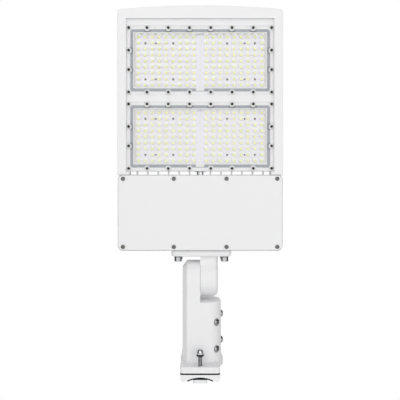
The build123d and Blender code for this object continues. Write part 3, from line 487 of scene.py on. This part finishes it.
for bay in bays:
    node = f"{bay}_lens_plate"
    low, high = limits(node)
    half_w, half_h = high[0], (high[2] - low[2]) / 2
    bay_z, back, thick = (low[2] + high[2]) / 2, high[1] - air, plate_t - air
    rim = plate_outline(half_w, half_h, plate_corner_r)
    shell = strips([(array_edge, 0), (rim, 0), (rim, thick), (array_edge, thick)])
    web = np.concatenate([np.column_stack([web_x, web_z, np.full(4, h)]) for h in (0, thick)])
    web = web, np.array([[3, 2, 1, 0], [4, 5, 6, 7]])
    shapes = [(copies(shape, [(0, back, bay_z)], face_on), 0) for shape in (shell, web)]
    for side in hands.values():
        lenses = led_spots(side, bay_z, back)
        blanks = board_spots(side, bay_z, back, screw_columns, screw_rows)
        for spots, crown_h, inside_h in ((lenses, lens_h, hollow_h), (blanks, 0, 0)):
            crown, hollow = lens_cell(lens_r, crown_h, -groove), lens_cell(hollow_r, inside_h, 0)
            shapes.append((copies(crown, spots - [0, thick, 0], face_on), 0))
            shapes.append((copies(flipped(hollow), spots, face_on), 0))
    points, faces = copies(boss, screw_ring(bay_z, back - thick, half_w, half_h), face_on)
    shapes.append(((np.clip(points, low, high), faces), 0))
    ring = screw_ring(bay_z, high[1], half_w, half_h)
    # Dark arcs at the top row and side screws: painted shade under the seal's notches.
    for part, axes in ((top_row, face_on), (left_pair, facing_right), (right_pair, facing_left)):
        shapes.append((copies(notch_shade, ring[part], axes), 1))
    build(node, "clear_lens", [clear, notch_shade_paint], *shapes, sharp=50)

# Lens screws: small blackened steel screws round the rim of each lens plate.
# They press the plate on its seal.
# Blackened steel: nearly black, with soft glints on the crown.
dark_steel = finish("blackened_steel", "#34332F", 0.38, metallic=0.6)
head_r, head_h, shank_r, shank_len = 2.6, 2.0, 1.5, 9.0
screw = pan_head(head_r, head_h, shank_r, shank_len)
for bay in bays:
    low, high = limits(f"{bay}_lens_plate")
    head_y = high[1] - plate_t - boss_h
    spots = screw_ring((low[2] + high[2]) / 2, head_y, high[0], (high[2] - low[2]) / 2)
    build(f"{bay}_lens_screws", "dark_screw", [dark_steel], (copies(screw, spots, face_on), 0))

# Driver, terminal block and surge protector: bought-in parts screwed to the driver box's floor.
# The driver is an extruded aluminium case, the others are moulded plastic.
# Extruded case: a grey half-shine. Nylon: warm matt white. Plastic: matt black. Steel: bright.
case = finish("driver_case", "#8F9295", 0.4, metallic=0.8, grain=2.0, depth=0.01)
dress(case, "led_driver")
dress(finish("white_nylon", "#E6E5DF", 0.5), "terminal_block")
dress(finish("black_case", "#1C1D1F", 0.45), "surge_protector")
steel = finish("stainless_steel", "#CDCED0", 0.16, metallic=1.0)
dress(steel, "driver_screws")

# Rubber parts of the driver box: the bushing for the cable and the cover's flat gasket.
# They are black EPDM, moulded or cut from sheet, and are squeezed between metal parts.
# EPDM: deep black with hardly any shine. Its grain is drawn coarser than it is, so that it shows.
rubber = finish("black_rubber", "#08090A", 0.8, grain=1.0, depth=0.05, shine=0.1)
dress(rubber, "cable_bushing", "driver_cover_gasket")

# Driver cover: a flat aluminium lid in the same paint, held by eight pan-head screws.
# The screws are plain steel with a cross recess.
# Plain steel: a mid grey with blurred reflections.
dress(paint, "driver_cover")
screw_steel = finish("screw_steel", "#83847F", 0.35, metallic=1.0)
inset_x, inset_z, inner_x = 10.05, 6.9, 52.7
head_r, head_h, shank_r, shank_len = 4.1, 2.6, 2.0, 14.0
low, high = limits("driver_cover")
columns = (low[0] + inset_x, -inner_x, inner_x, high[0] - inset_x)
spots = [(x, low[1], z) for x in columns for z in (low[2] + inset_z, high[2] - inset_z)]
screws = copies(pan_head(head_r, head_h, shank_r, shank_len), spots, face_on)
build("driver_cover_screws", "steel", [screw_steel], (screws, 0))

# Knuckle lug: the cast aluminium half of the tilting knuckle, in the same paint.
# Four hex bolts with plain washers go up through its flange into the driver box.
# A gasket of pale silicone lies between the two.
dress(paint, "knuckle_lug")
# Zinc plating: a light grey with fairly sharp reflections. Washers: darker, and more blurred.
# Pale silicone: a soft light grey.
bolt_steel = finish("zinc_plated_steel", "#A9AAAC", 0.2, metallic=1.0)
dress(finish("dark_washer", "#5C5D60", 0.3, metallic=1.0), "knuckle_washers")
dress(finish("pale_silicone", "#D4D6D8", 0.6), "knuckle_gasket")


def hexagon(flats, turn):
    """Hexagon's radius in each direction: half of its flats by the cosine to the nearest flat."""
    return flats / 2 / np.cos((turn + np.pi / 6) % (np.pi / 3) - np.pi / 6)


def hex_bolt(flats, height, shank_r, shank_len):
    """Bolt along Z with its head on the XY plane: a hexagon whose upper corners are cut by a cone.

    The cone falls by its tangent from the round face, in which a shallow dish is sunk.
    """
    face_r, cone, dish_h = 0.475 * flats, math.radians(30), 0.25
    dish_r, dish_floor_r = 0.8 * face_r, 0.78 * face_r
    turn = around(48)
    side = hexagon(flats, turn + np.pi / 6)
    cut = (side - face_r) * math.tan(cone)
    rings = [(axis_r, -shank_len), (shank_r, -shank_len), (shank_r, 0), (side, 0)]
    rings += [(side, height - cut), (face_r, height), (dish_r, height)]
    rings += [(dish_floor_r, height - dish_h), (axis_r, height - dish_h)]
    return turned(rings, turn)


bolt_flats, bolt_head_h, bolt_r, bolt_len = 13.0, 9.0, 4.0, 24.0
bolt_x, bolt_y = 47.3, 17.0
low, high = limits("knuckle_bolts")
middle_x, head_z = (low[0] + high[0]) / 2, low[2] + bolt_head_h
downwards = np.array([[1, 0, 0], [0, -1, 0], [0, 0, -1]])
spots = [(middle_x + i * bolt_x, j * bolt_y, head_z) for i in (-1, 1) for j in (-1, 1)]
bolts = copies(hex_bolt(bolt_flats, bolt_head_h, bolt_r, bolt_len), spots, downwards)
build("knuckle_bolts", "steel", [bolt_steel], (bolts, 0))

# Arm: the cast slip-fitter body with the other half of the knuckle and the pole flange.
# It is aluminium in the same white powder coat.
dress(paint, "arm")

# Set screws: short zinc-plated steel screws with domed heads and a hexagon socket.
# They are screwed into the arm's right side, and would grip a pole tenon inside the arm.
set_head_r, set_head_h, set_r, set_len = 7.0, 4.4, 4.0, 12.0
socket_flats, socket_h, socket_rim, edge_h = 5.0, 2.6, 3.1, 0.5


def domed_screw():
    """Screw along Z with its head on the XY plane: a dome round a hexagon socket.

    From edge to socket the dome is a quarter ellipse, with the cosine across and the sine up.
    """
    turn = around(36)
    socket, socket_z = hexagon(socket_flats, turn), set_head_h - socket_h
    dome_w, dome_h = set_head_r - socket_rim, set_head_h - edge_h
    rings = [(axis_r, -set_len), (set_r, -set_len), (set_r, 0), (set_head_r, 0)]
    for a in np.radians([0, 20, 40, 60, 75, 90]):
        rings.append((socket_rim + dome_w * np.cos(a), edge_h + dome_h * np.sin(a)))
    rings += [(socket, set_head_h), (socket, socket_z), (axis_r, socket_z)]
    return turned(rings, turn)


slant = math.sqrt(0.5)
for level in bays:
    for place, outward in (("front", (slant, -slant, 0)), ("side", (1, 0, 0))):
        node = f"{level}_{place}_set_screw"
        low, high = limits(node)
        outward = np.array(outward)
        across = np.array([-outward[1], outward[0], 0])
        inner = np.where(outward > 0, low, np.where(outward < 0, high, (low + high) / 2))
        seat = inner + np.sign(outward) * (set_len * np.abs(outward) + set_r * np.abs(across))
        axes = np.array([across, [0, 0, 1], outward])
        build(node, "steel", [bolt_steel], (copies(domed_screw(), [seat], axes), 0))

# Knuckle pivot: a steel bolt with washer and nut, sunk in both faces, and a fibre friction ring.
# Tightening it holds the head's tilt.
# Friction fibre: dull dark brown. Its fibres are drawn coarser than they are, so that they show.
dress(steel, "pivot_bolt", "pivot_washer", "pivot_nut")
dress(finish("friction_fibre", "#3A3530", 0.8, grain=0.8, depth=0.08), "friction_ring")

# Pole adapter: a painted aluminium block with a hollow seat, under a flat rubber gasket.
# A rubber strip lines the seat, and the clamp's studs hold the block under the arm's flange.
dress(rubber, "flange_gasket", "seat_gasket")
dress(paint, "pole_adapter")

# Pole clamp: a zinc-plated bar inside the pole, drawn up by two threaded studs with dome nuts.
# The studs are zinc-plated steel with a rolled thread.
# The nuts are bright steel, each on a collar in a dark grey that paints the shade and dark
# reflections there.
thread_pitch, thread_h, pitch_steps = 1.25, 0.45, 8
flank, crest = 1.8, 0.5
stud_r, stud_y = 4.0, 55.0
collar_r, collar_h, collar_edge_h, neck_r = 7.5, 2.2, 1.54, 5.0
nut_flats, nut_hex_h, nut_foot_h, nut_dome_h = 12.2, 4.4, 1.4, 7.4
nut_dome_r, nut_cone = 0.49 * nut_flats, math.radians(45)
# Zinc-plated bar: pale and half matt. Nut: a mirror-like light grey. Collar: dark and glossy, as
# painted shade.
zinc = finish("zinc_plate", "#EEEFF1", 0.45, metallic=0.5, grain=2.0, depth=0.02)
nut_steel = finish("bright_nut_steel", "#D2D3D5", 0.12, metallic=1.0)
collar_shade_steel = finish("collar_painted_shade", "#3C3D3F", 0.3, metallic=1.0)
dress(zinc, "clamp_bar")


def thread(z, turn):
    """Radius of the stud at a height, for each direction.

    A flat-topped ridge climbs one pitch per turn, and its flanks fall evenly to the root.
    """
    phase = (z / thread_pitch - turn / (2 * np.pi)) % 1
    return stud_r - thread_h * np.clip(flank * np.abs(2 * phase - 1) - crest, 0, 1)


low, high = limits("pole_studs")
length = high[2] - low[2]
turn = around(24)
rings = [(thread(z, turn), z) for z in np.arange(0, length, thread_pitch / pitch_steps)]
stud = turned([(axis_r, 0), *rings, (stud_r - thread_h, length), (axis_r, length)], turn)
spots = [(0, j * stud_y, low[2]) for j in (-1, 1)]
build("pole_studs", "steel", [bolt_steel], (copies(stud, spots, np.eye(3)), 0))

low, high = limits("dome_nuts")
turn = around(48)
side = hexagon(nut_flats, turn + np.pi / 6)
hex_top = collar_h + nut_hex_h
cut = (side - nut_dome_r) * math.tan(nut_cone)
collar = [(axis_r, 0), (collar_r, 0), (collar_r, collar_edge_h), (neck_r, collar_h)]
cap = [(neck_r, collar_h), (side, collar_h + nut_foot_h), (side, hex_top - cut)]
for a in np.radians([0, 15, 30, 45, 60, 75]):
    cap.append((nut_dome_r * np.cos(a), hex_top + nut_dome_h * np.sin(a)))
cap.append((axis_r, hex_top + nut_dome_h))
spots = [(0, j * stud_y, low[2]) for j in (-1, 1)]
caps, collars = [copies(turned(rings, turn), spots, np.eye(3)) for rings in (cap, collar)]
build("dome_nuts", "steel", [nut_steel, collar_shade_steel], (caps, 0), (collars, 1))

# Studio: a pale floor far below, a white room with soft lamps, and the camera of the photograph.
# The room is dimmer towards its sides, which makes the edges of white parts stand out.
floor_size, floor_z = 12, -1.0
bpy.ops.mesh.primitive_plane_add(size=floor_size, location=(0, 0, floor_z))
floor = bpy.context.object
floor.name = "floor"
floor_white = finish("studio_floor", "#F2F2F2", 0.9)
tree = floor_white.node_tree
white = add(tree, "ShaderNodeEmission", {"Color": linear("#FFFFFF"), "Strength": 1.0})
seen = add(tree, "ShaderNodeLightPath", {}).outputs["Is Camera Ray"]
plain = tree.nodes["Principled BSDF"].outputs["BSDF"]
blend = add(tree, "ShaderNodeMixShader", {0: seen, 1: plain, 2: white.outputs["Emission"]})
tree.links.new(blend.outputs["Shader"], tree.nodes["Material Output"].inputs["Surface"])
floor.data.materials.append(floor_white)
floor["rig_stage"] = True

# The room's light goes by how far a direction points ahead or back, along the Y axis. The first
# range is the light that falls on the object, the others are what shiny parts reflect.
room_dim, mirror_dim = 0.3, 0.06
world = bpy.data.worlds.new("studio")
world.use_nodes = True
bpy.context.scene.world = world
tree = world.node_tree
tree.nodes.clear()
way = add(tree, "ShaderNodeTexCoord", {}).outputs["Generated"]
ahead = add(tree, "ShaderNodeSeparateXYZ", {"Vector": way}).outputs["Y"]
either = add(tree, "ShaderNodeMath", {0: ahead}, operation="ABSOLUTE").outputs[0]
ranges = ((either, 0.2, 0.7, room_dim, 1.0), (ahead, -0.75, -0.45, 1.0, mirror_dim),
          (ahead, 0.75, 0.97, mirror_dim, 1.0))
labels = ("Value", "From Min", "From Max", "To Min", "To Max")
level, fore, rear = [add(tree, "ShaderNodeMapRange", dict(zip(labels, values))).outputs["Result"]
                     for values in ranges]
walls = add(tree, "ShaderNodeMath", {0: fore, 1: rear}, operation="MAXIMUM").outputs[0]
lights = [{"Color": linear("#FFFFFF"), "Strength": strength} for strength in (level, walls, 1.0)]
room, mirror, white = [add(tree, "ShaderNodeBackground", light).outputs[0] for light in lights]
path = add(tree, "ShaderNodeLightPath", {}).outputs
lit = add(tree, "ShaderNodeMixShader", {0: path["Is Glossy Ray"], 1: room, 2: mirror}).outputs[0]
direct = {0: path["Is Camera Ray"], 1: path["Is Transmission Ray"]}
view = add(tree, "ShaderNodeMath", direct, operation="MAXIMUM").outputs[0]
blend = add(tree, "ShaderNodeMixShader", {0: view, 1: lit, 2: white}).outputs[0]
add(tree, "ShaderNodeOutputWorld", {"Surface": blend})

lamp_size, target = 1.4, np.array([0, 0, 0.4])
lamps = (
    ("key", (-0.9, -1.8, 1.5), 5.5),
    ("fill", (1.2, -1.7, 0.2), 5.0),
    ("front", (-0.2, -2.2, 0.0), 3.0),
    ("overhead", (0.0, -0.6, 2.0), 3.0),
)
for name, spot, power in lamps:
    lamp = bpy.data.lights.new(name, "AREA")
    lamp.size = lamp_size
    lamp.energy = power
    holder = bpy.data.objects.new(name, lamp)
    bpy.context.scene.collection.objects.link(holder)
    holder.location = spot
    aim = target - np.array(spot)
    pitch = math.acos(-aim[2] / np.linalg.norm(aim))
    holder.rotation_euler = (pitch, 0, math.atan2(-aim[0], aim[1]))

camera_data = bpy.data.cameras.new("photo_view")
camera_data.lens = 45.0
camera_data.sensor_width = 36.0
camera = bpy.data.objects.new("photo_view", camera_data)
camera.location = (-0.0003, -1.038, 0.3538)
camera.rotation_euler = (math.pi / 2, 0, 0)
bpy.context.scene.collection.objects.link(camera)
bpy.context.scene.camera = camera
bpy.context.scene.view_settings.view_transform = "Standard"

low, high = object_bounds()
